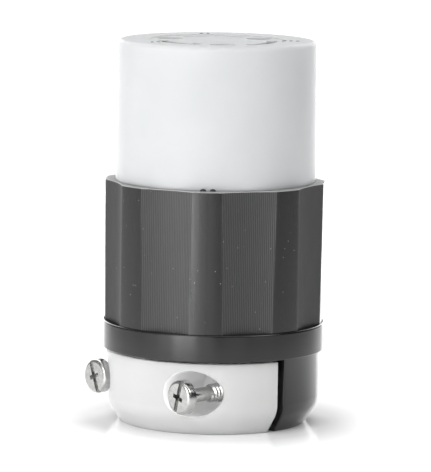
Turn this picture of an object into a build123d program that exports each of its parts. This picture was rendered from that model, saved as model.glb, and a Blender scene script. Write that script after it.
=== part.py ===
from build123d import *
from math import atan, cos, degrees, radians, sin, tan
import os

# Locking cord connector with three curved contacts. Sizes are in millimetres.
# Z runs up the axis from the cord's entry to the contact face, and the origin is the centre of the
# entry in the base plane. The clamp screws lie along Y with their heads towards -Y.

# Outside, from the cord's end up
base_bevel_height = 4.3
base_bevel_width = 2.9
clamp_height = 14.95
clamp_inset = 0.82
band_height = 5.45
band_proud = 0.34
grip_height = 28.25
grip_wall = 3.48
grip_taper = 0.19
barrel_height = 28.2
barrel_step = 1.98
barrel_taper = 0.24
corner_round = 0.4
face_round = 0.8
base_corner_round = 5.0

# Scooped panels of the grip, with smooth lands between them
panel_count = 8
panel_depth = 1.28
land_half_angle = 7.65

# Fine upright ribs in each panel
rib_pitch = 0.385
rib_depth = 0.06
rib_margin = 0.3

# Fits
nest_gap = 0.1
screw_gap = 0.15
slide_gap = 0.15

# Grip housing inside
ledge_width = 2.1
ledge_height = 2.0

# Clamp body inside
floor_thickness = 2.5
spigot_height = 4.0
spigot_wall = 1.7
boss_radius = 2.9
boss_web = 1.6
boss_flat = 0.2
boss_hole_wall = 0.42
boss_hole_floor = 1.0

# Cord's passage through both clamp halves
cord_radius = 8.3
cord_groove_depth = 0.8
cord_groove_height = 2.5
cord_ridge_height = 1.6
cord_lip_height = 2.5
cord_groove_count = 3

# Clamp jaw and its screws
jaw_gap = 1.4
jaw_edge_round = 0.3
clamp_screw_wall = 1.65
clamp_screw_z = 8.45
clamp_screw_radius = 1.75
clamp_screw_neck_radius = 1.38
clamp_screw_neck_length = 5.85
clamp_screw_length = 25.4
clamp_head_radius = 3.43
clamp_head_height = 2.1
clamp_screw_out = 8.65
clamp_screw_play = 0.5
recess_radius = 4.65
recess_floor_wall = 0.4
nut_flats = 6.35
nut_height = 2.8
nut_seat_y = 4.2
nut_gap = 0.15

# Contact face
contact_names = ("hot", "neutral", "ground")
contact_count = len(contact_names)
first_contact_angle = 25.0
slot_radius = 10.9
slot_width = 2.2
slot_half_angle = 29.0
ground_hook_depth = 1.6
face_plate = 4.6
face_groove_land = 0.2
face_groove_width = 0.5
face_groove_depth = 0.3

# Assembly screws
assembly_screw_radius = 1.45
assembly_head_radius = 2.5
assembly_head_height = 2.1
well_depth = 2.9
assembly_tip_gap = 0.5

# Barrel and contact block inside the grip
barrel_skirt_depth = 3.0
barrel_skirt_wall = 1.6
block_depth = 12.0
insulator_thickness = 3.6

# Contacts, their springs and terminals
blade_thickness = 1.5
strip_thickness = 0.8
leaf_height = 14.0
leaf_half_angle = 26.0
contact_gap = 0.25
spring_thickness = 0.5
spring_height = 3.0
spring_drop = 2.0
spring_gap = 0.03
shank_width = 6.0
tab_width = 8.0
terminal_height = 4.5
terminal_roof = 0.4
tab_foot_gap = 0.2
wire_gap = 1.4
plate_thickness = 1.2
plate_size = 7.2
terminal_screw_radius = 1.75
terminal_screw_length = 6.2
terminal_head_radius = 3.2
terminal_head_height = 1.9
terminal_head_gap = 1.55
terminal_pocket_width = 10.4
funnel_mouth_radius = 3.6
funnel_throat_radius = 2.1

# Screw heads
head_round = 0.33
drive_width = 0.9
drive_span = 0.5
drive_depth = 0.6
slot_share = 0.6
clamp_drive_turns = (68, 107)

# Heights that follow from the sizes above
band_top = clamp_height + band_height
grip_top = band_top + grip_height
face_top = grip_top + barrel_height
floor_top = clamp_height + floor_thickness
spigot_top = band_top + spigot_height
skirt_foot = grip_top - barrel_skirt_depth
block_step = skirt_foot - slide_gap
block_foot = grip_top - block_depth
insulator_foot = block_foot - insulator_thickness
ledge_foot = insulator_foot - ledge_height
terminal_z = block_foot + terminal_height
terminal_top = block_step - terminal_roof
chamber_top = face_top - face_plate
leaf_top = chamber_top - contact_gap
leaf_foot = leaf_top - leaf_height
web_foot = leaf_foot - strip_thickness
well_floor = face_top - well_depth

# Radii that follow, from the blade circle out to the bore and the grip
inner_leaf_radius = slot_radius - blade_thickness / 2
outer_leaf_radius = slot_radius + blade_thickness / 2
leaf_inside = inner_leaf_radius - strip_thickness
leaf_outside = outer_leaf_radius + strip_thickness
spring_inside = leaf_inside - spring_gap - spring_thickness
spring_outside = leaf_outside + spring_gap + spring_thickness
spring_end_angle = degrees((spring_gap + spring_thickness) / leaf_inside)
pocket_half_angle = leaf_half_angle + spring_end_angle + degrees(contact_gap / leaf_inside)
plate_inside = leaf_outside + wire_gap
plate_outside = plate_inside + plate_thickness
wire_radius = (leaf_outside + plate_inside) / 2
nest_radius = plate_outside + terminal_head_height + terminal_head_gap
bore_radius = nest_radius + nest_gap
ledge_radius = bore_radius - ledge_width
skirt_inside = nest_radius - barrel_skirt_wall
block_radius = skirt_inside - nest_gap
chamber_radius = nest_radius - spigot_wall
grip_rim_radius = bore_radius + grip_wall
grip_foot_radius = grip_rim_radius - grip_taper
panel_depth_radius = grip_rim_radius - panel_depth
panel_half_angle = 180 / panel_count - land_half_angle
band_radius = grip_rim_radius + band_proud
clamp_radius = band_radius - clamp_inset
base_radius = clamp_radius - base_bevel_width
barrel_foot_radius = grip_rim_radius - barrel_step
face_radius = barrel_foot_radius - barrel_taper

# Places of the screws round the cord's passage
boss_hole_radius = assembly_screw_radius + spring_gap
assembly_radius = cord_radius + boss_flat + boss_hole_wall + boss_hole_radius
well_radius = assembly_head_radius + screw_gap
face_groove_radius = assembly_radius + well_radius + face_groove_land + face_groove_width / 2
clamp_hole_radius = clamp_screw_radius + clamp_screw_play
clamp_screw_x = cord_radius + cord_groove_depth + clamp_screw_wall + clamp_hole_radius
recess_floor_y = -(cord_radius + cord_groove_depth + recess_floor_wall)
clamp_head_y = recess_floor_y - clamp_screw_out
nut_corner_radius = nut_flats / 2 / cos(radians(30))

contact_step = 360 / contact_count
contact_angles = [first_contact_angle + contact_step * i for i in range(contact_count)]
gap_angles = [angle + contact_step / 2 for angle in contact_angles]

# The loose clamp screws lean about their nuts until they almost touch the sides of their holes.
lean_reach = clamp_head_y - nut_seat_y
clamp_screw_lean = degrees(atan(0.75 * clamp_screw_play / abs(lean_reach)))
lean_gap = nut_flats * tan(radians(clamp_screw_lean)) + spring_gap
nut_slot_end_y = nut_seat_y + nut_height + 2 * lean_gap

beyond = 2 * band_radius


def turned(points, rounds=()):
    """A solid of revolution from (radius, height) points; rounds lists (point, radius) pairs."""
    face = make_face(Polyline(*points, close=True))
    for point, radius in rounds:
        corner = face.vertices().sort_by_distance((point[0], point[1], 0))[0]
        face = fillet(corner, radius)
    return revolve(Plane.XZ * face, Axis.Z)


def disc(radius, low, high):
    """A cylinder on the Z axis between two heights."""
    return Pos(0, 0, low) * Cylinder(radius, high - low, align=(Align.CENTER, Align.CENTER, Align.MIN))


def rod(radius, low, high):
    """A cylinder on the Y axis between two places."""
    return Pos(0, low, 0) * Rot(-90, 0, 0) * disc(radius, 0, high - low)


def block(x_range, y_range, z_range):
    """A box between two places along each axis."""
    size = [high - low for low, high in (x_range, y_range, z_range)]
    middle = [(high + low) / 2 for low, high in (x_range, y_range, z_range)]
    return Pos(*middle) * Box(*size)


def arc_bar(inside, outside, half_angle, low, high):
    """A stretch of ring, centred on the +X side."""
    section = Pos((inside + outside) / 2, (low + high) / 2) * Rectangle(outside - inside, high - low)
    ring = revolve(Plane.XZ * section, Axis.Z, revolution_arc=2 * half_angle)
    return Rot(0, 0, -half_angle) * ring


def around(shape, angles):
    """Copies of a shape, turned about Z to each angle."""
    return [Rot(0, 0, angle) * shape for angle in angles]


def pan_head(radius, height):
    """A rounded screw head on Z = 0 with a cross and a slot cut in its top."""
    outline = [(0, 0), (radius, 0), (radius, height), (0, height)]
    head = turned(outline, [((radius, height), height * head_round)])
    half = drive_width / 2
    arm = radius * drive_span
    depth = height * drive_depth
    slot = block((-radius, radius), (-half, half), (height - depth * slot_share, height))
    cross = block((-half, half), (-arm, arm), (height - depth, height))
    cross += block((-arm, arm), (-half, half), (height - depth, height))
    return head - slot - cross


def screw(radius, length, head_radius, head_height):
    """A pan-head screw: head above Z = 0, shank below it."""
    tip = min(radius * 0.4, length / 4)
    shank = turned([(0, 0), (radius, 0), (radius, tip - length), (radius - tip, -length), (0, -length)])
    return pan_head(head_radius, head_height) + shank


def lying(shape):
    """Turn a piece that points up +Z so that it points along -Y."""
    return Rot(90, 0, 0) * shape


def cord_passage():
    """The bore that the cord lies in, with the grooves that leave gripping ridges between them."""
    bore = disc(cord_radius, 0, floor_top)
    step = cord_groove_height + cord_ridge_height
    for i in range(cord_groove_count):
        low = cord_lip_height + step * i
        bore += disc(cord_radius + cord_groove_depth, low, low + cord_groove_height)
    return bore


def face_barrel():
    """White barrel: a deep cup with the slotted contact face as its floor and a skirt inside the grip."""
    outline = [
        (skirt_inside, skirt_foot),
        (nest_radius, skirt_foot),
        (nest_radius, grip_top),
        (barrel_foot_radius, grip_top),
        (face_radius, face_top),
        (0, face_top),
        (0, chamber_top),
        (skirt_inside, chamber_top),
    ]
    barrel = turned(outline, [((face_radius, face_top), face_round)])
    groove_foot = face_top - face_groove_depth
    groove = disc(face_groove_radius + face_groove_width / 2, groove_foot, face_top)
    barrel -= groove - disc(face_groove_radius - face_groove_width / 2, groove_foot, face_top)
    arc = CenterArc((0, 0), slot_radius, -slot_half_angle, 2 * slot_half_angle)
    slot = Pos(0, 0, chamber_top) * extrude(SlotArc(arc, slot_width), face_plate)
    barrel -= around(slot, contact_angles)
    hook_x = (slot_radius - slot_width / 2 - ground_hook_depth, slot_radius)
    hook = block(hook_x, (-slot_width / 2, slot_width / 2), (chamber_top, face_top))
    barrel -= Rot(0, 0, contact_angles[-1] + slot_half_angle) * hook
    well = disc(well_radius, well_floor, face_top)
    well += disc(assembly_screw_radius + screw_gap, chamber_top, well_floor)
    barrel -= around(Pos(assembly_radius, 0, 0) * well, gap_angles)
    return barrel


def contact_block():
    """The inner block that fills the barrel and holds the three contacts in their chambers."""
    outline = [
        (0, block_foot),
        (nest_radius, block_foot),
        (nest_radius, block_step),
        (block_radius, block_step),
        (block_radius, chamber_top),
        (0, chamber_top),
    ]
    body = turned(outline) - around(contact_chamber(), contact_angles)
    hole = disc(assembly_screw_radius + screw_gap, block_foot, chamber_top)
    return body - around(Pos(assembly_radius, 0, 0) * hole, gap_angles)


def contact_chamber():
    """The hollow that one contact lies in: its leaves, its shank and its terminal."""
    leaves = arc_bar(
        spring_inside - contact_gap, spring_outside + contact_gap, pocket_half_angle, web_foot, chamber_top)
    shank_x = (outer_leaf_radius - contact_gap, leaf_outside + contact_gap)
    shank_y = shank_width / 2 + contact_gap
    shank = block(shank_x, (-shank_y, shank_y), (terminal_top, web_foot))
    pocket_y = terminal_pocket_width / 2
    pocket = block((shank_x[0], beyond), (-pocket_y, pocket_y), (block_foot, terminal_top))
    tip_radius = plate_outside - terminal_screw_length - contact_gap
    tip_hole = Rot(0, 90, 0) * disc(terminal_screw_radius + screw_gap, tip_radius, shank_x[0])
    return leaves + shank + pocket + Pos(0, 0, terminal_z) * tip_hole


def contact():
    """A folded brass strip: two curved leaves, the web between them, a shank and a terminal tab."""
    inner = arc_bar(leaf_inside, inner_leaf_radius, leaf_half_angle, web_foot, leaf_top)
    outer = arc_bar(outer_leaf_radius, leaf_outside, leaf_half_angle, web_foot, leaf_top)
    web = arc_bar(leaf_inside, leaf_outside, leaf_half_angle, web_foot, leaf_foot)
    shank_x = (outer_leaf_radius, leaf_outside)
    shank = block(shank_x, (-shank_width / 2, shank_width / 2), (terminal_top - 1, leaf_foot))
    tab_z = (block_foot + tab_foot_gap, terminal_top - contact_gap)
    tab = block(shank_x, (-tab_width / 2, tab_width / 2), tab_z)
    hole = Pos(0, 0, terminal_z) * Rot(0, 90, 0) * disc(terminal_screw_radius + spring_gap, 0, beyond)
    tab -= hole
    return inner + outer + web + shank + tab


def contact_spring():
    """A closed steel band round both leaves of a contact."""
    high = leaf_top - spring_drop
    low = high - spring_height
    band = arc_bar(spring_inside, spring_outside, leaf_half_angle + spring_end_angle, low, high)
    room_angle = leaf_half_angle + degrees(spring_gap / leaf_inside)
    return band - arc_bar(leaf_inside - spring_gap, leaf_outside + spring_gap, room_angle, low, high)


def pressure_plate():
    """The plate under a terminal screw's head that presses the wire on the tab."""
    half = plate_size / 2
    plate = block((plate_inside, plate_outside), (-half, half), (terminal_z - half, terminal_z + half))
    hole = Rot(0, 90, 0) * disc(terminal_screw_radius + screw_gap, plate_inside, plate_outside)
    return plate - Pos(0, 0, terminal_z) * hole


def terminal_screw():
    """A terminal screw, pointing outwards from the axis with its head on the pressure plate."""
    piece = screw(terminal_screw_radius, terminal_screw_length, terminal_head_radius, terminal_head_height)
    return Pos(plate_outside, 0, terminal_z) * Rot(0, 90, 0) * piece


def rear_insulator():
    """The disc that closes the chambers, with a wire funnel at each terminal."""
    plate = disc(nest_radius, insulator_foot, block_foot)
    funnel = turned([
        (0, insulator_foot),
        (funnel_mouth_radius, insulator_foot),
        (funnel_throat_radius, block_foot),
        (0, block_foot),
    ])
    plate -= around(Pos(wire_radius, 0, 0) * funnel, contact_angles)
    hole = disc(assembly_screw_radius + screw_gap, insulator_foot, block_foot)
    plate -= around(Pos(assembly_radius, 0, 0) * hole, gap_angles)
    return plate


def panel_cutter():
    """One scoop of the grip: a large round cutter with fine upright teeth, which leave the panel's ribs."""
    half_chord = grip_rim_radius * sin(radians(panel_half_angle))
    sagitta = grip_rim_radius * cos(radians(panel_half_angle)) - panel_depth_radius
    scoop = (half_chord ** 2 + sagitta ** 2) / (2 * sagitta)
    middle = panel_depth_radius + scoop
    rib_count = int((half_chord - rib_margin) / (rib_pitch / 2))
    half_pitch = rib_pitch / 2 / scoop
    outer_angle = (half_chord + rib_margin) / scoop
    points = [(beyond, scoop * sin(outer_angle))]
    points.append((middle - scoop * cos(outer_angle), points[0][1]))
    for i in range(rib_count, -rib_count - 1, -1):
        reach = scoop + rib_depth * ((rib_count - i) % 2)
        points.append((middle - reach * cos(i * half_pitch), reach * sin(i * half_pitch)))
    points += [(x, -y) for x, y in points[1::-1]]
    outline = make_face(Polyline(*points, close=True))
    return Pos(0, 0, band_top) * extrude(outline, grip_top - band_top)


def grip_housing():
    """Black sleeve: eight smooth lands and eight scooped, ribbed panels round a stepped bore."""
    outline = [
        (bore_radius, band_top),
        (grip_foot_radius, band_top),
        (grip_rim_radius, grip_top),
        (bore_radius, grip_top),
        (bore_radius, insulator_foot),
        (ledge_radius, insulator_foot),
        (ledge_radius, ledge_foot),
        (bore_radius, ledge_foot),
    ]
    sleeve = turned(outline, [((grip_rim_radius, grip_top), corner_round / 2)])
    step = 360 / panel_count
    return sleeve - around(panel_cutter(), [step * (i + 0.5) for i in range(panel_count)])


def clamp_body():
    """Black band and spigot, and below it the fixed half of the cord clamp with a slot for each nut."""
    outline = [
        (0, 0),
        (base_radius, 0),
        (clamp_radius, base_bevel_height),
        (clamp_radius, clamp_height),
        (band_radius, clamp_height),
        (band_radius, band_top),
        (nest_radius, band_top),
        (nest_radius, spigot_top),
        (chamber_radius, spigot_top),
        (chamber_radius, floor_top),
        (0, floor_top),
    ]
    rounds = [
        ((clamp_radius, base_bevel_height), base_corner_round),
        ((band_radius, clamp_height), corner_round / 2),
        ((band_radius, band_top), corner_round),
    ]
    body = turned(outline, rounds)
    boss = disc(boss_radius, floor_top, spigot_top)
    web_x = (0, chamber_radius + spigot_wall / 2 - assembly_radius)
    boss += block(web_x, (-boss_web / 2, boss_web / 2), (floor_top, spigot_top))
    passage_side = (-beyond, cord_radius + boss_flat - assembly_radius)
    boss -= block(passage_side, (-boss_radius, boss_radius), (floor_top, spigot_top))
    body += around(Pos(assembly_radius, 0, 0) * boss, gap_angles)
    boss_hole = disc(boss_hole_radius, floor_top + boss_hole_floor, spigot_top)
    body -= around(Pos(assembly_radius, 0, 0) * boss_hole, gap_angles)
    body -= block((-beyond, beyond), (-beyond, 0), (-1, clamp_height))
    body -= cord_passage()
    screw_hole = rod(clamp_hole_radius, 0, nut_seat_y) + rod(clamp_screw_radius + screw_gap, nut_seat_y, beyond)
    slot_half_width = nut_flats / 2 + nut_gap
    slot_z = (-clamp_height, nut_corner_radius + nut_gap)
    nut_slot = block((-slot_half_width, slot_half_width), (nut_seat_y, nut_slot_end_y), slot_z)
    for side in (-1, 1):
        body -= Pos(side * clamp_screw_x, 0, clamp_screw_z) * (screw_hole + nut_slot)
    return body


def clamp_jaw():
    """White moving half of the cord clamp, with a round recess over each screw."""
    jaw_top = clamp_height - slide_gap
    outline = [
        (0, 0),
        (base_radius, 0),
        (clamp_radius, base_bevel_height),
        (clamp_radius, jaw_top),
        (0, jaw_top),
    ]
    rounds = [((clamp_radius, base_bevel_height), base_corner_round), ((clamp_radius, jaw_top), corner_round)]
    jaw = turned(outline, rounds)
    jaw -= block((-beyond, beyond), (-jaw_gap, beyond), (-1, clamp_height))
    corners = jaw.edges().filter_by(Plane.XZ).filter_by(lambda edge: edge.center().Y > -jaw_gap - 0.01)
    jaw = fillet(corners.filter_by(Axis.X, reverse=True), jaw_edge_round)
    jaw -= cord_passage()
    hole = rod(clamp_hole_radius, recess_floor_y, 0)
    hole += rod(recess_radius, -beyond, recess_floor_y)
    for side in (-1, 1):
        jaw -= Pos(side * clamp_screw_x, 0, clamp_screw_z) * hole
    return jaw


def at_clamp_nuts(shape, turns=(0, 0)):
    """Two copies of a piece drawn round the nut's seat, each leaning with its screw and turned about it."""
    places = []
    for side, turn in zip((-1, 1), turns):
        place = Pos(side * clamp_screw_x, nut_seat_y, clamp_screw_z)
        places.append(place * Rot(side * clamp_screw_lean, 0, 0) * Rot(0, turn, 0) * shape)
    return Compound(children=places)


def clamp_screw():
    """A clamp screw along -Y, drawn with its nut's seat at the origin."""
    piece = screw(clamp_screw_radius, clamp_screw_length, clamp_head_radius, clamp_head_height)
    neck = disc(clamp_screw_radius, -clamp_screw_neck_length, 0)
    neck -= disc(clamp_screw_neck_radius, -clamp_screw_neck_length, 0)
    return Pos(0, clamp_head_y - nut_seat_y, 0) * lying(piece - neck)


def clamp_nut():
    """A hex nut behind its seat, with its thread drawn as a plain bore round the screw."""
    nut = extrude(Rot(0, 0, 30) * RegularPolygon(nut_flats / 2, 6, major_radius=False), nut_height)
    nut -= disc(clamp_screw_radius + spring_gap, 0, nut_height)
    return Rot(-90, 0, 0) * Pos(0, 0, lean_gap) * nut


def assembly_screws():
    """Three long screws from the wells in the face to the bosses in the clamp body."""
    tip = floor_top + boss_hole_floor + assembly_tip_gap
    piece = screw(assembly_screw_radius, well_floor - tip, assembly_head_radius, assembly_head_height)
    return Compound(children=around(Pos(assembly_radius, 0, well_floor) * piece, gap_angles))


def pieces():
    """Every piece of the connector by name."""
    parts = {
        "face_barrel": face_barrel(),
        "contact_block": contact_block(),
        "rear_insulator": rear_insulator(),
        "grip_housing": grip_housing(),
        "clamp_body": clamp_body(),
        "clamp_jaw": clamp_jaw(),
        "clamp_screws": at_clamp_nuts(clamp_screw(), clamp_drive_turns),
        "clamp_nuts": at_clamp_nuts(clamp_nut()),
        "assembly_screws": assembly_screws(),
    }
    at_contact = {
        "contact": contact(),
        "contact_spring": contact_spring(),
        "pressure_plate": pressure_plate(),
        "terminal_screw": terminal_screw(),
    }
    for name, angle in zip(contact_names, contact_angles):
        for kind, shape in at_contact.items():
            parts[f"{name}_{kind}"] = Rot(0, 0, angle) * shape
    return parts


os.makedirs("parts", exist_ok=True)
for node, shape in pieces().items():
    export_step(shape, f"parts/{node}.step")
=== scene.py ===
from math import acos, atan2, cos, degrees, pi, radians, sin, sqrt, tan

import bmesh
import bpy
from mathutils import Matrix, Vector


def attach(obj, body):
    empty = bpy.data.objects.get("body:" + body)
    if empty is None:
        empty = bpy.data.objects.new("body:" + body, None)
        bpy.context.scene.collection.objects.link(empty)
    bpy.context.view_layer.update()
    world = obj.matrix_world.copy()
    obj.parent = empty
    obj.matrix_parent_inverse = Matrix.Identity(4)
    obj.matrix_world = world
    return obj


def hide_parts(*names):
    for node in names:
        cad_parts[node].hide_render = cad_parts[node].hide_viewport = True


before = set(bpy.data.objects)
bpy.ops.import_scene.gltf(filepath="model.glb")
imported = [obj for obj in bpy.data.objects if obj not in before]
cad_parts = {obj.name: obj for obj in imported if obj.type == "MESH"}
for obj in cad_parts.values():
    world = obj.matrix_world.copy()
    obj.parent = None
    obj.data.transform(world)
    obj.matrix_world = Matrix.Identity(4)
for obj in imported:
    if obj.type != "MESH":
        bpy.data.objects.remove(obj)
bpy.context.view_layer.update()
mm = 0.001

# The view of the photograph: a long lens from a little above, turned so that both clamp screws and
# the split between the clamp halves show. The angles and distances were fitted to the outline.
view_azimuth = radians(49)
view_distance = 0.80195
view_aside = 0.0002
view_height = 0.14224
view_pitch = 0.1302
view_roll = 0.0150
view_lens = 306.45

view_data = bpy.data.cameras.new("photo_view")
view_data.lens = view_lens
view_data.clip_start = 0.05
camera = bpy.data.objects.new("photo_view", view_data)
bpy.context.scene.collection.objects.link(camera)
bpy.context.scene.camera = camera
towards = Matrix.Rotation(view_azimuth, 4, "Z")
place = Matrix.Translation(towards @ Vector((view_aside, -view_distance, view_height)))
camera.matrix_world = (
    place
    @ towards
    @ Matrix.Rotation(pi / 2 - view_pitch, 4, "X")
    @ Matrix.Rotation(view_roll, 4, "Z")
)


# The barrel is one moulding of white nylon, a deep cup turned upside down. Its floor is the contact
# face, with three curved blade slots, a fine circle round them and a well over each assembly screw.
barrel_foot, barrel_top = 48.65, 76.85
barrel_foot_radius, face_radius = 20.1, 19.86
skirt_foot, skirt_radius, skirt_inside = 45.65, 18.5, 16.9
face_underside = 72.25
circle_radius, circle_width, circle_depth, circle_slope = 13.5, 0.5, 0.3, 0.1
contact_angles = (25, 145, 265)
well_angles = (85, 205, 325)
slot_radius, slot_width, slot_half_angle, slot_steps, hook_depth = 10.9, 2.2, 29, 30, 1.6
well_place, well_radius, well_floor, well_hole_radius = 10.4, 2.65, 73.95, 1.6
circle_round, face_round, barrel_foot_round, slot_rim_round = 0.04, 0.8, 0.15, 0.22
slot_rims_reach = 13.1
corner_steps, tiny_corner, tiny_steps = 6, 0.1, 2
past = 1


def turned(name, rings, sides):
    """A shell swept round Z through (radius, height) rings in mm; equal ends are joined."""
    radius, height = rings[0]
    bpy.ops.object.select_all(action="DESELECT")
    bpy.ops.mesh.primitive_circle_add(
        vertices=sides, radius=radius * mm, location=(0, 0, height * mm))
    piece = bpy.context.object
    piece.name = name
    bpy.ops.object.transform_apply(location=True)
    bpy.ops.object.mode_set(mode="EDIT")
    bpy.ops.mesh.select_all(action="SELECT")
    for next_radius, next_height in rings[1:]:
        rise = (0, 0, (next_height - height) * mm)
        bpy.ops.mesh.extrude_region_move(TRANSFORM_OT_translate={"value": rise})
        scale = next_radius / radius
        bpy.ops.transform.resize(value=(scale, scale, 1), center_override=(0, 0, next_height * mm))
        radius, height = next_radius, next_height
    bpy.ops.mesh.select_all(action="SELECT")
    bpy.ops.mesh.remove_doubles(threshold=0.001 * mm)
    bpy.ops.mesh.select_all(action="DESELECT")
    bpy.ops.mesh.select_non_manifold(extend=False)
    bpy.ops.mesh.fill_holes(sides=0)
    bpy.ops.mesh.select_all(action="SELECT")
    bpy.ops.mesh.normals_make_consistent(inside=False)
    bpy.ops.object.mode_set(mode="OBJECT")
    return piece


def rounded(points, corners):
    """The (radius, height) points with each named corner turned into a small arc of that radius."""
    rings = []
    for i, point in enumerate(points):
        if i not in corners:
            rings.append(point)
            continue
        here = Vector(point)
        back = (Vector(points[i - 1]) - here).normalized()
        ahead = (Vector(points[(i + 1) % len(points)]) - here).normalized()
        half = acos(max(-1, min(1, back.dot(ahead)))) / 2
        middle = here + (back + ahead).normalized() * corners[i] / sin(half)
        start = here + back * corners[i] / tan(half) - middle
        end = here + ahead * corners[i] / tan(half) - middle
        steps = tiny_steps if corners[i] < tiny_corner else corner_steps
        for step in range(steps + 1):
            rings.append(tuple(middle + start.lerp(end, step / steps).normalized() * corners[i]))
    return rings


def put(piece, matrix):
    """Moves a piece's mesh, so that its object stays at the origin."""
    piece.data.transform(matrix)
    if matrix.determinant() < 0:
        piece.data.flip_normals()
    return piece


def boolean(piece, tool, kind="DIFFERENCE"):
    """Cuts a tool out of a piece, joins it on or keeps what both share, and removes the tool."""
    bpy.ops.object.select_all(action="DESELECT")
    bpy.context.view_layer.objects.active = piece
    change = piece.modifiers.new("cut", "BOOLEAN")
    change.operation = kind
    change.object = tool
    change.solver = "EXACT"
    bpy.ops.object.modifier_apply(modifier="cut")
    bpy.data.objects.remove(tool)


def bevel_edges(piece, width, segments, wanted):
    """Rounds the edges that wanted(middle, normals) picks; middle is in mm."""
    bpy.ops.object.select_all(action="DESELECT")
    bpy.context.view_layer.objects.active = piece
    bpy.ops.object.mode_set(mode="EDIT")
    bpy.ops.mesh.select_mode(type="EDGE")
    bpy.ops.mesh.select_all(action="DESELECT")
    mesh = bmesh.from_edit_mesh(piece.data)
    for edge in mesh.edges:
        if len(edge.link_faces) == 2:
            middle = (edge.verts[0].co + edge.verts[1].co) / 2 / mm
            if wanted(middle, [face.normal for face in edge.link_faces]):
                edge.select_set(True)
    bmesh.update_edit_mesh(piece.data)
    bpy.ops.mesh.bevel(offset=width * mm, segments=segments, affect="EDGES", clamp_overlap=False)
    bpy.ops.object.mode_set(mode="OBJECT")


def smoothed(piece, angle):
    """Smooth shading, with edges sharper than the angle left crisp."""
    bpy.ops.object.select_all(action="DESELECT")
    piece.select_set(True)
    bpy.context.view_layer.objects.active = piece
    bpy.ops.object.shade_smooth_by_angle(angle=radians(angle))
    bpy.ops.object.select_all(action="DESELECT")


def rod(name, radius, low, high, sides):
    """A plain cylinder on the Z axis between two heights, mostly used as a cutting tool."""
    bpy.ops.object.select_all(action="DESELECT")
    middle = (0, 0, (high + low) / 2 * mm)
    bpy.ops.mesh.primitive_cylinder_add(
        vertices=sides, radius=radius * mm, depth=(high - low) * mm, location=middle)
    tool = bpy.context.object
    tool.name = name
    bpy.ops.object.transform_apply(location=True)
    return tool


def bar(name, low, high):
    """A plain box between two corners in mm."""
    bpy.ops.object.select_all(action="DESELECT")
    bpy.ops.mesh.primitive_cube_add(size=1)
    tool = bpy.context.object
    tool.name = name
    low, high = Vector(low) * mm, Vector(high) * mm
    sizes = Matrix.Diagonal((*(high - low), 1))
    return put(tool, Matrix.Translation((low + high) / 2) @ sizes)


def turn_z(angle):
    """A turn about Z, in degrees."""
    return Matrix.Rotation(radians(angle), 4, "Z")


def move(x, y, z):
    """A move in mm."""
    return Matrix.Translation((x * mm, y * mm, z * mm))


def slot_tool(low, high):
    """The cutter of one blade slot: a curved bar with round ends, centred on +X."""
    tool = rod("slot", slot_width / 2, low, high, sides=32)
    put(tool, move(slot_radius, 0, 0))
    put(tool, turn_z(-slot_half_angle))
    bpy.context.view_layer.objects.active = tool
    bpy.ops.object.mode_set(mode="EDIT")
    bpy.ops.mesh.select_mode(type="FACE")
    bpy.ops.mesh.select_all(action="DESELECT")
    mesh = bmesh.from_edit_mesh(tool.data)
    first_end = radians(-slot_half_angle)
    along = Vector((-sin(first_end), cos(first_end), 0))
    for face in mesh.faces:
        face.select_set(abs(face.normal.z) < 0.5 and face.normal.dot(along) > -0.02)
    bmesh.update_edit_mesh(tool.data)
    turn = radians(-2 * slot_half_angle / slot_steps)
    for step in range(slot_steps):
        bpy.ops.mesh.extrude_region_move()
        bpy.ops.transform.rotate(value=turn, orient_axis="Z", center_override=(0, 0, 0))
    bpy.ops.object.mode_set(mode="OBJECT")
    return tool


points = [
    (circle_radius - circle_width / 2, barrel_top),
    (circle_radius - circle_width / 2 + circle_slope, barrel_top - circle_depth),
    (circle_radius + circle_width / 2 - circle_slope, barrel_top - circle_depth),
    (circle_radius + circle_width / 2, barrel_top),
    (face_radius, barrel_top),
    (barrel_foot_radius, barrel_foot),
    (skirt_radius, barrel_foot),
    (skirt_radius, skirt_foot),
    (skirt_inside, skirt_foot),
    (skirt_inside, face_underside),
]
corners = {0: circle_round, 3: circle_round, 4: face_round, 5: barrel_foot_round}
barrel = turned("barrel", rounded(points, corners), sides=192)
for angle in contact_angles:
    tool = slot_tool(face_underside - past, barrel_top + past)
    boolean(barrel, put(tool, turn_z(angle)))
hook_end = slot_radius - slot_width / 2 - hook_depth
tool = bar("hook", (hook_end, -slot_width / 2, face_underside - past),
           (slot_radius, slot_width / 2, barrel_top + past))
boolean(barrel, put(tool, turn_z(contact_angles[2] + slot_half_angle)))
for angle in well_angles:
    well = rod("well", well_radius, well_floor, barrel_top + past, sides=64)
    hole = rod("hole", well_hole_radius, face_underside - past, well_floor + past, sides=40)
    boolean(barrel, put(well, turn_z(angle) @ move(well_place, 0, 0)))
    boolean(barrel, put(hole, turn_z(angle) @ move(well_place, 0, 0)))


def on_face_rim(middle, normals):
    """The edges of the slots and the wells in the face."""
    upright = [abs(normal.z) < 0.3 for normal in normals]
    inside = middle.xy.length < slot_rims_reach
    return abs(middle.z - barrel_top) < 0.01 and inside and upright[0] != upright[1]


bevel_edges(barrel, slot_rim_round, 3, on_face_rim)
smoothed(barrel, 30)
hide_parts("face_barrel")
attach(barrel, "connector")


def shader(name, colour, roughness):
    """A new principled material, with its nodes, links and shader node.

    The plain colour and roughness hold where no nodes are linked to them.
    """
    material = bpy.data.materials.new(name)
    material.use_nodes = True
    nodes, links = material.node_tree.nodes, material.node_tree.links
    surface = nodes["Principled BSDF"]
    surface.inputs["Base Color"].default_value = (*colour, 1)
    surface.inputs["Roughness"].default_value = roughness
    return material, nodes, links, surface


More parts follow.
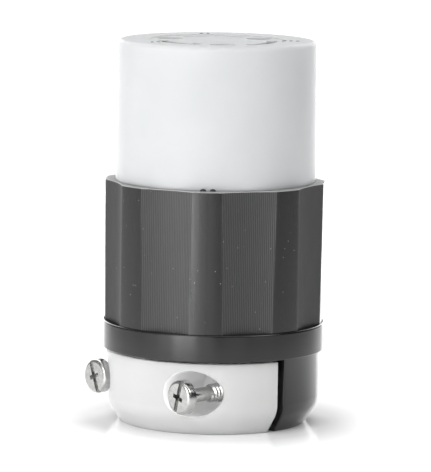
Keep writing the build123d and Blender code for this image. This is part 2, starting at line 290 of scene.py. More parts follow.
def object_noise(nodes, links, scale, detail=4, stretch=(1, 1, 1)):
    """Noise on object coordinates, with its scale per metre and a stretch along each axis."""
    place = nodes.new("ShaderNodeTexCoord")
    mapping = nodes.new("ShaderNodeMapping")
    mapping.inputs["Scale"].default_value = stretch
    noise = nodes.new("ShaderNodeTexNoise")
    noise.inputs["Scale"].default_value = scale
    noise.inputs["Detail"].default_value = detail
    noise.inputs["Roughness"].default_value = 0.55
    links.new(place.outputs["Object"], mapping.inputs["Vector"])
    links.new(mapping.outputs["Vector"], noise.inputs["Vector"])
    return noise.outputs["Fac"]


def ramped(nodes, links, source, stops):
    """A colour ramp over a value; stops are (place, colour)."""
    ramp = nodes.new("ShaderNodeValToRGB")
    while len(ramp.color_ramp.elements) > 1:
        ramp.color_ramp.elements.remove(ramp.color_ramp.elements[0])
    first = ramp.color_ramp.elements[0]
    first.position = stops[0][0]
    first.color = (*stops[0][1], 1)
    for position, colour in stops[1:]:
        ramp.color_ramp.elements.new(position).color = (*colour, 1)
    links.new(source, ramp.inputs["Fac"])
    return ramp.outputs["Color"]


def ranged(nodes, links, source, low, high, start=0.3, end=0.7):
    """A value stretched from one range to another and held inside it."""
    spread = nodes.new("ShaderNodeMapRange")
    for name, value in (("From Min", start), ("From Max", end), ("To Min", low), ("To Max", high)):
        spread.inputs[name].default_value = value
    links.new(source, spread.inputs["Value"])
    return spread.outputs["Result"]


def combined(nodes, links, kind, first, second):
    """Two values, or a value and a number, through one math step."""
    step = nodes.new("ShaderNodeMath")
    step.operation = kind
    links.new(first, step.inputs[0])
    if isinstance(second, (int, float)):
        step.inputs[1].default_value = second
    else:
        links.new(second, step.inputs[1])
    return step.outputs[0]


def bumped(nodes, links, surface, height, depth, strength=1.0):
    """Relief on a shader from a height value; depth is in mm."""
    bump = nodes.new("ShaderNodeBump")
    bump.inputs["Strength"].default_value = strength
    bump.inputs["Distance"].default_value = depth * mm
    links.new(height, bump.inputs["Height"])
    if surface.inputs["Normal"].is_linked:
        links.new(surface.inputs["Normal"].links[0].from_socket, bump.inputs["Normal"])
    links.new(bump.outputs["Normal"], surface.inputs["Normal"])


def dressed(piece, material):
    """Gives a piece one material all over."""
    piece.data.materials.clear()
    piece.data.materials.append(material)


white_nylon, nodes, links, surface = shader("white_nylon", (0.49, 0.50, 0.51), 0.46)
cloud = object_noise(nodes, links, 90, 3)
links.new(ramped(nodes, links, cloud, [
    (0.35, (0.447, 0.456, 0.464)),
    (0.65, (0.466, 0.474, 0.481)),
]), surface.inputs["Base Color"])
grain = object_noise(nodes, links, 2200, 3)
draw = object_noise(nodes, links, 1500, 2, (1, 1, 0.03))
links.new(ranged(nodes, links, draw, 0.42, 0.52), surface.inputs["Roughness"])
bumped(nodes, links, surface, draw, 0.012, 0.5)
bumped(nodes, links, surface, grain, 0.006, 0.5)
surface.inputs["Subsurface Weight"].default_value = 0.6
surface.inputs["Subsurface Radius"].default_value = (1.0, 0.95, 0.9)
surface.inputs["Subsurface Scale"].default_value = 4 * mm
surface.inputs["Specular IOR Level"].default_value = 0.12
dressed(barrel, white_nylon)


# Short dark dashes are printed on the face, one group beside each contact slot, where such a
# connector marks its terminals. They are thin films of ink with round ends.
dash_half_width, dash_half_length, dash_round = 0.27, 0.62, 0.2
dash_pitch, dash_fan = 1.35, 24
ink_foot, ink_top = barrel_top - 0.02, barrel_top + 0.03
dash_groups = ((-11.7, -7.7, 25, 3), (14.7, -0.6, -8, 3), (-2.6, 15.1, 4, 2))


def on_dash_corner(middle, normals):
    """The upright edges of a dash."""
    return all(abs(normal.z) < 0.1 for normal in normals)


def joined(pieces, name):
    """Several meshes as one piece."""
    bpy.ops.object.select_all(action="DESELECT")
    for piece in pieces:
        piece.select_set(True)
    bpy.context.view_layer.objects.active = pieces[0]
    bpy.ops.object.join()
    pieces[0].name = name
    return pieces[0]


face_marks = []
for across, away, turn, dashes in dash_groups:
    place = turn_z(degrees(view_azimuth)) @ move(across, away, 0) @ turn_z(turn)
    for i in range(dashes):
        low = (-dash_half_width, -dash_half_length, ink_foot)
        mark = bar("mark", low, (dash_half_width, dash_half_length, ink_top))
        bevel_edges(mark, dash_round, 3, on_dash_corner)
        put(mark, turn_z(dash_fan * (i - 1)))
        aside = dash_pitch * (i - (dashes - 1) / 2)
        face_marks.append(put(mark, place @ move(aside, 0, 0)))
face_marks = joined(face_marks, "face_marks")
smoothed(face_marks, 30)
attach(face_marks, "connector")

ink, nodes, links, surface = shader("dark_ink", (0.04, 0.04, 0.045), 0.9)
surface.inputs["Specular IOR Level"].default_value = 0.05
wear = object_noise(nodes, links, 2600, 4)
links.new(ramped(nodes, links, wear, [(0.5, (0.02, 0.02, 0.022)), (0.66, (0.2, 0.2, 0.21))]),
          surface.inputs["Base Color"])
dressed(face_marks, ink)


# The grip is one moulding of black nylon: eight smooth lands between eight scooped panels that are
# finely ribbed for the hand. It sits on the band and holds the barrel's skirt in its bore.
band_top, grip_top = 20.4, 48.65
grip_foot_radius, grip_rim_radius, bore_radius = 21.89, 22.08, 18.6
ledge_radius, ledge_foot, ledge_top = 16.5, 31.05, 33.05
grip_rim_round, grip_bore_round = 0.2, 0.15
panel_count, panel_half_angle, panel_depth_radius = 8, 14.85, 20.8
rib_pitch, rib_depth = 0.385, 0.06
pip_angles, pip_steps = (-45, 135), (-2.7, 2.7)
pip_place, pip_half_sizes = 20.25, (0.35, 0.62, 0.5)

points = [
    (bore_radius, band_top),
    (grip_foot_radius, band_top),
    (grip_rim_radius, grip_top),
    (bore_radius, grip_top),
    (bore_radius, ledge_top),
    (ledge_radius, ledge_top),
    (ledge_radius, ledge_foot),
    (bore_radius, ledge_foot),
]
rings = rounded(points, {2: grip_rim_round, 3: grip_bore_round})
grip = turned("grip", rings + rings[:1], sides=240)

half_chord = grip_rim_radius * sin(radians(panel_half_angle))
sagitta = grip_rim_radius * cos(radians(panel_half_angle)) - panel_depth_radius
scoop_radius = (half_chord ** 2 + sagitta ** 2) / (2 * sagitta)
rib_columns = 2 * round(2 * pi * scoop_radius / rib_pitch)


def ribbed_scoop():
    """The cutter of one panel: a large drum whose every second column stands out."""
    drum = rod("scoop", scoop_radius, band_top - past, grip_top + past, rib_columns)
    swell = 1 + rib_depth / scoop_radius
    for vertex in drum.data.vertices:
        column = round(atan2(vertex.co.y, vertex.co.x) / (2 * pi / rib_columns))
        if column % 2 == 0:
            vertex.co.x *= swell
            vertex.co.y *= swell
    return put(drum, move(panel_depth_radius + scoop_radius, 0, 0))


for i in range(panel_count):
    boolean(grip, put(ribbed_scoop(), turn_z(360 / panel_count * (i + 0.5))))
for angle in pip_angles:
    for step in pip_steps:
        bpy.ops.object.select_all(action="DESELECT")
        bpy.ops.mesh.primitive_uv_sphere_add(segments=20, ring_count=12, radius=mm)
        pip = bpy.context.object
        on_top = move(pip_place, 0, grip_top) @ Matrix.Diagonal((*pip_half_sizes, 1))
        boolean(grip, put(pip, turn_z(angle + step) @ on_top), "UNION")
smoothed(grip, 15)
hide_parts("grip_housing")
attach(grip, "connector")


def coordinates(nodes, links):
    """The three object coordinates of a point, as separate values in metres."""
    place = nodes.new("ShaderNodeTexCoord")
    split = nodes.new("ShaderNodeSeparateXYZ")
    links.new(place.outputs["Object"], split.inputs["Vector"])
    return split.outputs["X"], split.outputs["Y"], split.outputs["Z"]


def flat_distance(nodes, links, first, second):
    """The length of the line that two coordinates give."""
    squares = [combined(nodes, links, "MULTIPLY", value, value) for value in (first, second)]
    return combined(nodes, links, "SQRT", combined(nodes, links, "ADD", *squares), 0)


def blended(nodes, links, share, colour, other):
    """A colour that gives way to another, plain one where the share nears 1."""
    blend = nodes.new("ShaderNodeMix")
    blend.data_type = "RGBA"
    links.new(share, blend.inputs["Factor"])
    links.new(colour, blend.inputs[6])
    blend.inputs[7].default_value = (*other, 1)
    return blend.outputs[2]


def dusted(nodes, links, colour, spacing, speck_radius, dust):
    """A colour with sparse specks of pale dust on it; sizes are in mm."""
    edge = speck_radius / spacing
    place = nodes.new("ShaderNodeTexCoord")
    cells = nodes.new("ShaderNodeTexVoronoi")
    cells.inputs["Scale"].default_value = 1 / (spacing * mm)
    links.new(place.outputs["Object"], cells.inputs["Vector"])
    speck = ranged(nodes, links, cells.outputs["Distance"], 1, 0, 0.6 * edge, edge)
    return blended(nodes, links, speck, colour, dust)


grip_nylon, nodes, links, surface = shader("grip_nylon", (0.015, 0.015, 0.016), 0.42)
x, y, z = coordinates(nodes, links)
taper = (grip_rim_radius - grip_foot_radius) / (grip_top - band_top)
inward = combined(nodes, links, "SUBTRACT", flat_distance(nodes, links, x, y),
                  combined(nodes, links, "MULTIPLY", z, taper))
land_radius = grip_foot_radius - taper * band_top
panel_start, land_end = (land_radius - 0.12) * mm, (land_radius - 0.04) * mm
# Painted sheen: the ribbed panels get a lighter black than the smooth lands, standing in for the
# light their ribs scatter. The same value makes the panels rougher, and a cloud of random tone lies
# over both.
on_panel = ranged(nodes, links, inward, 0.8, 0, panel_start, land_end)
cloud = ranged(nodes, links, object_noise(nodes, links, 160, 4), 0, 0.2)
finish_and_sheen = combined(nodes, links, "ADD", on_panel, cloud)
black = ramped(nodes, links, finish_and_sheen, [
    (0, (0.004, 0.004, 0.0043)),
    (0.2, (0.007, 0.007, 0.0073)),
    (0.8, (0.008, 0.008, 0.0082)),
    (1, (0.012, 0.012, 0.0123)),
])
# Painted highlight: the crest of every rib is painted a lighter grey, standing in for the glint
# that each rib catches.
folded = [combined(nodes, links, "ABSOLUTE", value, 0) for value in (x, y)]
scoop_axis = (panel_depth_radius + scoop_radius) * mm
to_axis = combined(nodes, links, "SUBTRACT", combined(nodes, links, "MAXIMUM", *folded),
                   scoop_axis * cos(pi / panel_count))
beside_axis = combined(nodes, links, "SUBTRACT", combined(nodes, links, "MINIMUM", *folded),
                       scoop_axis * sin(pi / panel_count))
from_axis = flat_distance(nodes, links, to_axis, beside_axis)
crest, flank = scoop_radius + 0.005, scoop_radius + 0.04
painted_crest_highlight = ranged(nodes, links, from_axis, 1, 0, crest * mm, flank * mm)
black = blended(nodes, links, painted_crest_highlight, black, (0.046, 0.046, 0.046))
# Painted highlight: a thin pale ring round the top edge of the grip, standing in for the light that
# its rounded rim catches, kept off the pips.
painted_rim_highlight = ranged(nodes, links, z, 0, 1, (grip_top - 0.16) * mm, (grip_top - 0.08) * mm)
under_pips = ranged(nodes, links, z, 1, 0, (grip_top + 0.01) * mm, (grip_top + 0.03) * mm)
painted_rim_highlight = combined(nodes, links, "MULTIPLY", painted_rim_highlight, under_pips)
black = blended(nodes, links, painted_rim_highlight, black, (0.3, 0.3, 0.3))
dusty = dusted(nodes, links, black, 1.5, 0.095, (0.28, 0.28, 0.28))
links.new(dusty, surface.inputs["Base Color"])
draw = object_noise(nodes, links, 2600, 3, (1, 1, 0.04))
rough = combined(nodes, links, "ADD", ranged(nodes, links, finish_and_sheen, 0.2, 0.4, 0, 1),
                 ranged(nodes, links, draw, 0, 0.06))
links.new(rough, surface.inputs["Roughness"])
bumped(nodes, links, surface, draw, 0.008, 0.5)
from_seam = combined(nodes, links, "ABSOLUTE", combined(nodes, links, "ADD", x, y), 0)
seam = ranged(nodes, links, from_seam, 1, 0, 0.02 * mm, 0.14 * mm)
bumped(nodes, links, surface, seam, 0.05)
surface.inputs["Specular IOR Level"].default_value = 0.45
dressed(grip, grip_nylon)


# The clamp body is the second black moulding: the band under the grip, a spigot inside it, and the
# fixed half of the cord clamp below, with a slot from beneath for each of the clamp's nuts.
clamp_height, band_radius = 14.95, 22.42
base_radius, base_bevel, clamp_radius = 18.7, 4.3, 21.6
spigot_top, spigot_radius, chamber_radius, chamber_floor = 24.4, 18.5, 16.8, 17.45
cord_radius, lip_height, groove_count = 8.3, 2.5, 3
groove_depth, groove_height, groove_slope, ridge_height = 0.8, 2.5, 0.2, 1.6
cord_mouth_round, base_round, bevel_round, clamp_top_round = 0.3, 0.35, 5.0, 0.05
band_foot_round, band_top_round, spigot_round = 0.2, 0.4, 0.2
boss_radius, boss_foot, boss_floor = 2.9, chamber_floor - 0.5, chamber_floor + 1
boss_hole_radius, boss_flat = 1.48, 0.2
web_inside, web_outside, web_half, web_top = 12.5, 17.5, 0.8, spigot_top - 0.3
screw_x, screw_z, nut_seat = 13.0, 8.45, 4.2
loose_hole_radius, tip_hole_radius = 2.25, 1.9
nut_slot_half, nut_slot_back, nut_slot_top = 3.325, 7.273, 12.27
split_round = 0.25
beyond = 30


def cord_rings(top):
    """The cord passage from the top down: its gripping grooves and the ridges between them."""
    rings = [(cord_radius, top)]
    for i in reversed(range(groove_count)):
        low = lip_height + i * (groove_height + ridge_height)
        high = low + groove_height
        rings.append((cord_radius, high))
        rings.append((cord_radius + groove_depth, high - groove_slope))
        rings.append((cord_radius + groove_depth, low + groove_slope))
        rings.append((cord_radius, low))
    return rings


points = [
    (cord_radius, 0),
    (base_radius, 0),
    (clamp_radius, base_bevel),
    (clamp_radius, clamp_height),
    (band_radius, clamp_height),
    (band_radius, band_top),
    (spigot_radius, band_top),
    (spigot_radius, spigot_top),
    (chamber_radius, spigot_top),
    (chamber_radius, chamber_floor),
]
foot_corners = {0: cord_mouth_round, 1: base_round, 2: bevel_round}
corners = {
    **foot_corners,
    3: clamp_top_round,
    4: band_foot_round,
    5: band_top_round,
    7: spigot_round,
    8: spigot_round,
}
rings = rounded(points, corners) + cord_rings(chamber_floor)
clamp_body = turned("clamp_body", rings + rings[:1], sides=192)
for angle in well_angles:
    boss = put(rod("boss", boss_radius, boss_foot, spigot_top, sides=48), move(well_place, 0, 0))
    boolean(boss, bar("passage_side", (0, -4, 0), (cord_radius + boss_flat, 4, beyond)))
    boolean(clamp_body, put(boss, turn_z(angle)), "UNION")
    web = bar("web", (web_inside, -web_half, boss_foot), (web_outside, web_half, web_top))
    boolean(clamp_body, put(web, turn_z(angle)), "UNION")
    hole = rod("hole", boss_hole_radius, boss_floor, spigot_top + past, sides=32)
    boolean(clamp_body, put(hole, turn_z(angle) @ move(well_place, 0, 0)))
boolean(clamp_body, bar("front", (-beyond, -beyond, -past), (beyond, 0, clamp_height)))


def turn_x(angle):
    """A turn about X, in degrees."""
    return Matrix.Rotation(radians(angle), 4, "X")


def clamp_bore(side):
    """The place of a clamp screw's bore, with its start in the split and its end at the back."""
    return move(side * screw_x, 0, screw_z) @ turn_x(-90)


for side in (-1, 1):
    hole = rod("hole", loose_hole_radius, -past, nut_seat + past, sides=40)
    boolean(clamp_body, put(hole, clamp_bore(side)))
    hole = rod("tip_hole", tip_hole_radius, nut_seat, beyond, sides=40)
    boolean(clamp_body, put(hole, clamp_bore(side)))
    low = (side * screw_x - nut_slot_half, nut_seat, -past)
    high = (side * screw_x + nut_slot_half, nut_slot_back, nut_slot_top)
    boolean(clamp_body, bar("nut_slot", low, high))


def on_split_rim(middle, normals):
    """The outer edges of the flat face that the jaw closes on."""
    across = [abs(normal.y + 1) < 0.01 for normal in normals]
    outside = abs(middle.x) > 10 and middle.z < clamp_height - 0.05
    return abs(middle.y) < 0.01 and outside and across[0] != across[1]


bevel_edges(clamp_body, split_round, 2, on_split_rim)
smoothed(clamp_body, 30)
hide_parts("clamp_body")
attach(clamp_body, "connector")

clamp_nylon, nodes, links, surface = shader("clamp_nylon", (0.012, 0.012, 0.0125), 0.26)
cloud = object_noise(nodes, links, 120, 4)
links.new(ramped(nodes, links, cloud, [
    (0.3, (0.006, 0.006, 0.0064)),
    (0.7, (0.009, 0.009, 0.0094)),
]), surface.inputs["Base Color"])
links.new(ranged(nodes, links, cloud, 0.18, 0.24), surface.inputs["Roughness"])
grain = object_noise(nodes, links, 1800, 3)
bumped(nodes, links, surface, grain, 0.006, 0.5)
surface.inputs["Specular IOR Level"].default_value = 0.42
dressed(clamp_body, clamp_nylon)


# The clamp jaw is a white nylon moulding, loose on its two screws. It closes on the cord from the
# front, and a round recess over each screw leaves room for the head and a driver.
jaw_top, jaw_split, recess_radius, recess_floor = 14.85, -1.4, 4.65, -9.5
jaw_top_round, jaw_split_round, recess_round = 0.2, 0.3, 0.1

points = [(cord_radius, 0), (base_radius, 0), (clamp_radius, base_bevel), (clamp_radius, jaw_top)]
rings = rounded(points, {**foot_corners, 3: jaw_top_round}) + cord_rings(jaw_top)
clamp_jaw = turned("clamp_jaw", rings + rings[:1], sides=160)
for side in (-1, 1):
    recess = rod("recess", recess_radius, -beyond, recess_floor, sides=72)
    boolean(clamp_jaw, put(recess, clamp_bore(side)))
    hole = rod("hole", loose_hole_radius, recess_floor - past, past, sides=40)
    boolean(clamp_jaw, put(hole, clamp_bore(side)))
boolean(clamp_jaw, bar("back", (-beyond, jaw_split, -past), (beyond, beyond, 20)))


def on_jaw_split(middle, normals):
    """The outer edges of the jaw's flat face."""
    across = [abs(normal.y - 1) < 0.01 for normal in normals]
    return abs(middle.y - jaw_split) < 0.01 and abs(middle.x) > 10 and across[0] != across[1]


bevel_edges(clamp_jaw, jaw_split_round, 3, on_jaw_split)


def on_recess_rim(middle, normals):
    """The outer edge of a recess, where it runs out through the jaw's side."""
    from_axis = sqrt((abs(middle.x) - screw_x) ** 2 + (middle.z - screw_z) ** 2)
    sharp = normals[0].dot(normals[1]) < 0.8
    return abs(from_axis - recess_radius) < 0.05 and middle.y < recess_floor - 1 and sharp


bevel_edges(clamp_jaw, recess_round, 2, on_recess_rim)
smoothed(clamp_jaw, 30)
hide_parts("clamp_jaw")
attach(clamp_jaw, "jaw")

jaw_nylon, nodes, links, surface = shader("jaw_nylon", (0.78, 0.78, 0.78), 0.34)
cloud = object_noise(nodes, links, 110, 3)
x, y, z = coordinates(nodes, links)
# Painted light: inside each recess the jaw is painted near white, far paler than outside, to lift
# the shade that falls in the recess. A cloud of random tone lies over the rest.
aside = combined(nodes, links, "ABSOLUTE", x, 0)
aside = combined(nodes, links, "SUBTRACT", aside, screw_x * mm)
above = combined(nodes, links, "SUBTRACT", z, screw_z * mm)
from_screw = flat_distance(nodes, links, aside, above)
rim_start, rim_end = (recess_radius + 0.02) * mm, (recess_radius + 0.1) * mm
in_recess = ranged(nodes, links, from_screw, 1, 0, rim_start, rim_end)
tone_and_painted_recess_light = combined(nodes, links, "ADD", in_recess, ranged(nodes, links, cloud, 0, 0.2))
links.new(ramped(nodes, links, tone_and_painted_recess_light, [
    (0, (0.53, 0.53, 0.53)),
    (0.2, (0.55, 0.55, 0.55)),
    (1, (0.98, 0.98, 0.98)),
]), surface.inputs["Base Color"])
links.new(ranged(nodes, links, cloud, 0.3, 0.38), surface.inputs["Roughness"])
grain = object_noise(nodes, links, 1900, 3)
bumped(nodes, links, surface, grain, 0.006, 0.5)
surface.inputs["Subsurface Weight"].default_value = 1.0
surface.inputs["Subsurface Radius"].default_value = (1.0, 1.0, 1.0)
surface.inputs["Subsurface Scale"].default_value = 4 * mm
surface.inputs["Specular IOR Level"].default_value = 0.2
dressed(clamp_jaw, jaw_nylon)


# The two clamp screws are plated steel, with a pan head for either driver, a smooth neck and a
# rolled thread. They are backed out, so each leans a little in its loose hole.
head_radius, head_height, head_flat = 3.43, 2.1, 2.75
neck_radius, neck_length, screw_length = 1.38, 5.85, 25.4
thread_radius, thread_pitch, thread_sink, thread_steps = 1.75, 0.79, 0.05, 32
flank_share, crest_share = 0.46, 0.07
head_foot_bevel, head_steps, head_middle, crown_inset = 0.12, 6, 0.3, 0.1
crown, slot_depth, clamp_slot_width = 0.03, 0.75, 1.0
cross_depth, cross_share, cross_taper, cross_thinning = 1.35, 0.5, 0.55, 0.6
in_head, tip_length, tip_bevel, collar_reach, collar_length = 0.1, 0.6, 0.5, 0.25, 0.2
head_place, screw_lean = 22.35, 0.9611


def pan_head(name, radius, height, flat, slot_width, slot_turn):
    """A pan head that stands on Z = 0, with a slot right across and a shorter tapered cross."""
    rings = [(head_middle, 0), (radius - head_foot_bevel, 0), (radius, head_foot_bevel)]
    side = height - (radius - flat)
    rings.append((radius, side))
    for step in range(1, head_steps + 1):
        turn = radians(90 * step / head_steps)
        rings.append((flat + (radius - flat) * cos(turn), side + (height - side) * sin(turn)))
    rings.append((flat - crown_inset, height))
    rings.append((head_middle, height + crown))
    head = turned(name, rings, sides=96)
    half = slot_width / 2
    slot = bar("slot", (-radius - past, -half, height - slot_depth),
               (radius + past, half, height + past))
    boolean(head, put(slot, turn_z(slot_turn)))
    for quarter in (0, 90):
        reach = radius * cross_share
        arm = bar("arm", (-reach, -half, height - cross_depth), (reach, half, height + past))
        for vertex in arm.data.vertices:
            if vertex.co.z < height * mm:
                vertex.co.x *= cross_taper
                vertex.co.y *= cross_thinning
        boolean(head, put(arm, turn_z(slot_turn + quarter)))
    return head


def thread(name, radius, root, pitch, low, high):
    """A ridge wound round the Z axis, closed at both ends."""
    bpy.ops.object.select_all(action="DESELECT")
    bpy.ops.mesh.primitive_plane_add(size=1)
    ridge = bpy.context.object
    ridge.name = name
    flank, crest = flank_share * pitch, crest_share * pitch
    places = [(root, -flank), (root, flank), (radius, crest), (radius, -crest)]
    order = sorted(ridge.data.vertices, key=lambda vertex: atan2(vertex.co.y, vertex.co.x))
    for vertex, (out, rise) in zip(order, places):
        vertex.co = (out * mm, 0, (low + rise) * mm)
    turns = (high - low) / pitch
    screw = ridge.modifiers.new("wind", "SCREW")
    screw.axis = "Z"
    screw.angle = 2 * pi * turns
    screw.screw_offset = pitch * turns * mm
    screw.steps = round(thread_steps * turns)
    screw.render_steps = screw.steps
    screw.use_merge_vertices = False
    bpy.ops.object.modifier_apply(modifier="wind")
    bpy.ops.object.mode_set(mode="EDIT")
    bpy.ops.mesh.select_mode(type="EDGE")
    bpy.ops.mesh.select_all(action="DESELECT")
    bpy.ops.mesh.select_non_manifold(extend=False)
    bpy.ops.mesh.fill_holes(sides=4)
    bpy.ops.mesh.select_all(action="SELECT")
    bpy.ops.mesh.normals_make_consistent(inside=False)
    bpy.ops.object.mode_set(mode="OBJECT")
    return ridge


def leaning(side):
    """The place of a clamp screw's nut seat, turned by the screw's lean."""
    return move(side * screw_x, nut_seat, screw_z) @ turn_x(side * screw_lean)


clamp_screws = []
for side, slot_turn in ((-1, 112), (1, 73)):
    head = pan_head("head", head_radius, head_height, head_flat, clamp_slot_width, slot_turn)
    shank = turned("shank", [
        (neck_radius, in_head),
        (neck_radius, tip_length - screw_length),
        (neck_radius - tip_bevel, -screw_length),
    ], sides=48)
    ridge = thread("ridge", thread_radius, neck_radius - thread_sink, thread_pitch,
                   tip_length - screw_length, -neck_length)
    collar = turned("collar", [
        (neck_radius + collar_reach, in_head / 2),
        (neck_radius, -collar_length),
        (neck_radius - 0.1, -collar_length),
    ], sides=48)
    piece = joined([head, shank, ridge, collar], "clamp_screw")
    place = leaning(side) @ move(0, -head_place, 0)
    clamp_screws.append(put(piece, place @ turn_x(90)))
clamp_screws = joined(clamp_screws, "clamp_screws")
smoothed(clamp_screws, 35)
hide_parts("clamp_screws")
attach(clamp_screws, "connector")

nickel, nodes, links, surface = shader("nickel_plate", (0.72, 0.72, 0.71), 0.22)
surface.inputs["Metallic"].default_value = 1
cloud = object_noise(nodes, links, 900, 5)
links.new(ramped(nodes, links, cloud, [
    (0.3, (0.36, 0.36, 0.355)),
    (0.65, (0.48, 0.48, 0.47)),
]), surface.inputs["Base Color"])
links.new(ranged(nodes, links, cloud, 0.16, 0.28), surface.inputs["Roughness"])
grain = object_noise(nodes, links, 3500, 3)
bumped(nodes, links, surface, grain, 0.015, 0.5)
dressed(clamp_screws, nickel)


# Each clamp screw runs into a plated hex nut with chamfered corners and a countersunk bore. The
# walls of its slot in the clamp body keep it from turning.
nut_flats, nut_height, nut_back = 6.35, 2.8, 0.1365
chamfer_flat, chamfer_reach, chamfer_height = 0.05, 0.6, 0.33
bore_gap, bore_sink, bore_mouth, bore_past = 0.03, 0.28, 0.3, 0.02
sliver = 0.001

clamp_nuts = []
for side in (-1, 1):
    nut = rod("nut", nut_flats / 2 / cos(pi / 6), 0, nut_height, sides=6)
    flat, reach = nut_flats / 2 - chamfer_flat, nut_flats / 2 + chamfer_reach
    boolean(nut, turned("chamfer", [
        (1, -sliver),
        (flat, -sliver),
        (reach, chamfer_height),
        (reach, nut_height - chamfer_height),
        (flat, nut_height + sliver),
        (1, nut_height + sliver),
    ], sides=96), "INTERSECT")
    boolean(nut, turned("bore", [
        (thread_radius + bore_mouth, -bore_past),
        (thread_radius + bore_gap, bore_sink),
        (thread_radius + bore_gap, nut_height - bore_sink),
        (thread_radius + bore_mouth, nut_height + bore_past),
    ], sides=48))
    clamp_nuts.append(put(nut, leaning(side) @ turn_x(-90) @ move(0, 0, nut_back)))
clamp_nuts = joined(clamp_nuts, "clamp_nuts")
smoothed(clamp_nuts, 25)
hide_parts("clamp_nuts")
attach(clamp_nuts, "connector")
dressed(clamp_nuts, nickel)


# Three long plated screws hold the stack together. Their heads lie in the wells of the face, and
# they run down past the contacts into the bosses of the clamp body.
assembly_head_radius, assembly_head_height, assembly_head_flat = 2.5, 2.1, 1.9
assembly_radius, assembly_tip, assembly_slot_width = 1.45, 18.95, 0.75
assembly_tip_length, assembly_tip_bevel = 0.5, 0.45

assembly_screws = []
for angle, slot_turn in zip(well_angles, (20, 75, 130)):
    head = pan_head("head", assembly_head_radius, assembly_head_height, assembly_head_flat,
                    assembly_slot_width, slot_turn)
    length = well_floor - assembly_tip
    shank = turned("shank", [
        (assembly_radius, in_head),
        (assembly_radius, assembly_tip_length - length),
        (assembly_radius - assembly_tip_bevel, -length),
    ], sides=40)
    piece = joined([head, shank], "assembly_screw")
    assembly_screws.append(put(piece, turn_z(angle) @ move(well_place, 0, well_floor)))
assembly_screws = joined(assembly_screws, "assembly_screws")
smoothed(assembly_screws, 35)
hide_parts("assembly_screws")
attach(assembly_screws, "connector")
dressed(assembly_screws, nickel)


# The contact block and the rear insulator are plain moulded nylon, off-white and duller than the
# barrel. They keep the contacts apart, and show only through the blade slots and the cord entry.
inner_nylon, nodes, links, surface = shader("inner_nylon", (0.6, 0.6, 0.57), 0.5)
cloud = object_noise(nodes, links, 140, 4)
links.new(ramped(nodes, links, cloud, [(0.3, (0.55, 0.55, 0.52)), (0.7, (0.64, 0.64, 0.61))]),
          surface.inputs["Base Color"])
grain = object_noise(nodes, links, 1600, 3)
bumped(nodes, links, surface, grain, 0.015, 0.6)
for node in ("contact_block", "rear_insulator"):
    dressed(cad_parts[node], inner_nylon)


# The contacts are folded from rolled brass strip, each under a spring band of plain steel. The
# terminals have a brass, a plated and a green dyed screw, as is usual for hot, neutral and ground.
brass, nodes, links, surface = shader("brass_strip", (0.72, 0.52, 0.24), 0.3)
surface.inputs["Metallic"].default_value = 1
stain = object_noise(nodes, links, 500, 5)
links.new(ramped(nodes, links, stain, [(0.3, (0.55, 0.38, 0.17)), (0.6, (0.76, 0.57, 0.28))]),
          surface.inputs["Base Color"])
links.new(ranged(nodes, links, stain, 0.22, 0.42), surface.inputs["Roughness"])
rolling = object_noise(nodes, links, 3000, 3, (1, 1, 0.05))
bumped(nodes, links, surface, rolling, 0.01, 0.5)

spring_steel, nodes, links, surface = shader("spring_steel", (0.46, 0.47, 0.49), 0.34)
surface.inputs["Metallic"].default_value = 1
stain = object_noise(nodes, links, 700, 4)
links.new(ramped(nodes, links, stain, [(0.3, (0.38, 0.39, 0.41)), (0.7, (0.52, 0.53, 0.55))]),
          surface.inputs["Base Color"])
links.new(ranged(nodes, links, stain, 0.26, 0.45), surface.inputs["Roughness"])

green_dye, nodes, links, surface = shader("green_dye", (0.05, 0.25, 0.09), 0.35)
surface.inputs["Metallic"].default_value = 0.6
wear = object_noise(nodes, links, 1200, 5)
links.new(ramped(nodes, links, wear, [
    (0.35, (0.03, 0.2, 0.07)),
    (0.62, (0.08, 0.32, 0.13)),
    (0.75, (0.4, 0.45, 0.38)),
]), surface.inputs["Base Color"])
links.new(ranged(nodes, links, wear, 0.25, 0.5), surface.inputs["Roughness"])

terminal_finish = {"hot": brass, "neutral": nickel, "ground": green_dye}
plate_finish = {"hot": brass, "neutral": nickel, "ground": nickel}
for name in terminal_finish:
    dressed(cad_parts[name + "_contact"], brass)
    dressed(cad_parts[name + "_contact_spring"], spring_steel)
    dressed(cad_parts[name + "_pressure_plate"], plate_finish[name])
    dressed(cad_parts[name + "_terminal_screw"], terminal_finish[name])


# The connector stands on a sheet of glowing white paper in soft studio light: broad lights above,
# behind and on the right, and a ring of low strips of unequal power that the black sides mirror.
floor_size, floor_gap = 8, 0.02
strips = (
    (-157, 0.18), (-140, 0.04), (-120, 0.01), (-100, 0.015), (-82, 0.02), (-60, 0.045), (-42, 0.09),
    (-28, 0.25), (-10, 0.055), (22, 0.02), (50, 0.012), (135, 0.04), (157, 0.17),
)
strip_distance, strip_height, strip_sizes = 0.2, 0.1, (0.075, 0.2)
level_height, middle_height = 0.3, 0.04

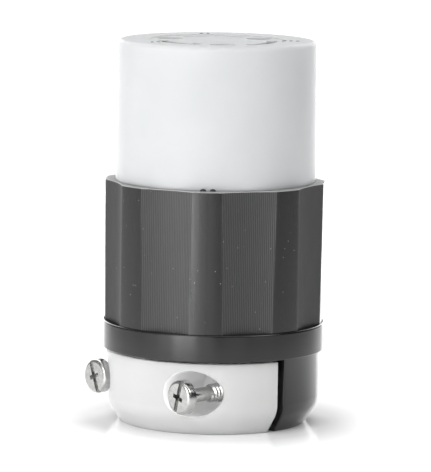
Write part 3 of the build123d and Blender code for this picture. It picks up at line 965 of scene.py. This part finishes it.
bpy.ops.object.select_all(action="DESELECT")
bpy.ops.mesh.primitive_plane_add(size=floor_size)
floor = bpy.context.object
floor.name = "floor"
put(floor, move(0, 0, -floor_gap))
paper, nodes, links, surface = shader("paper", (0.95, 0.95, 0.95), 0.16)
fleck = object_noise(nodes, links, 30, 3)
links.new(ramped(nodes, links, fleck, [(0.3, (0.94, 0.94, 0.94)), (0.7, (0.96, 0.96, 0.96))]),
          surface.inputs["Base Color"])
surface.inputs["Emission Color"].default_value = (1, 1, 1, 1)
# The paper's glow is painted light. It is faint within 25 mm of the connector's axis, which leaves
# a darker ring of painted shade round the foot. It is much stronger from 37 mm out, and stronger
# still between 0.2 and 0.9 m away.
x, y, z = coordinates(nodes, links)
out = flat_distance(nodes, links, x, y)
far_glow = ranged(nodes, links, out, 0, 0.5, 0.2, 0.9)
near_glow = ranged(nodes, links, out, 0.05, 0.38, 0.025, 0.037)
glow = combined(nodes, links, "ADD", far_glow, near_glow)
links.new(glow, surface.inputs["Emission Strength"])
dressed(floor, paper)


def soft_light(name, azimuth, distance, height, sizes, power):
    """A panel of light aimed at the connector; azimuth is measured from the camera, in degrees."""
    data = bpy.data.lights.new(name, "AREA")
    data.shape = "RECTANGLE"
    data.size, data.size_y = sizes
    data.energy = power
    light = bpy.data.objects.new(name, data)
    bpy.context.scene.collection.objects.link(light)
    light.visible_camera = False
    turn = Matrix.Rotation(view_azimuth + radians(azimuth), 4, "Z")
    place = turn @ Vector((0, -distance, height))
    aim_at = Vector((0, 0, height if height < level_height else middle_height))
    aim = (place - aim_at).to_track_quat("Z", "Y").to_matrix().to_4x4()
    light.matrix_world = Matrix.Translation(place) @ aim


soft_light("overhead", 0, 0.001, 1.24, (1.2, 1.2), 8.0)
soft_light("behind", 180, 0.771, 0.959, (0.8, 0.8), 7.0)
soft_light("behind_left", -150, 0.919, 0.811, (0.5, 0.5), 1.0)
soft_light("right", 65, 0.85, 0.85, (0.5, 0.5), 4.5)
for azimuth, power in strips:
    soft_light("strip", azimuth, strip_distance, strip_height, strip_sizes, power)

world = bpy.data.worlds.new("surround")
bpy.context.scene.world = world
world.use_nodes = True
surround = world.node_tree.nodes["Background"]
surround.inputs["Color"].default_value = (1, 1, 1, 1)
surround.inputs["Strength"].default_value = 0.02
bpy.context.scene.view_settings.view_transform = "Standard"
bpy.context.scene.view_settings.look = "None"
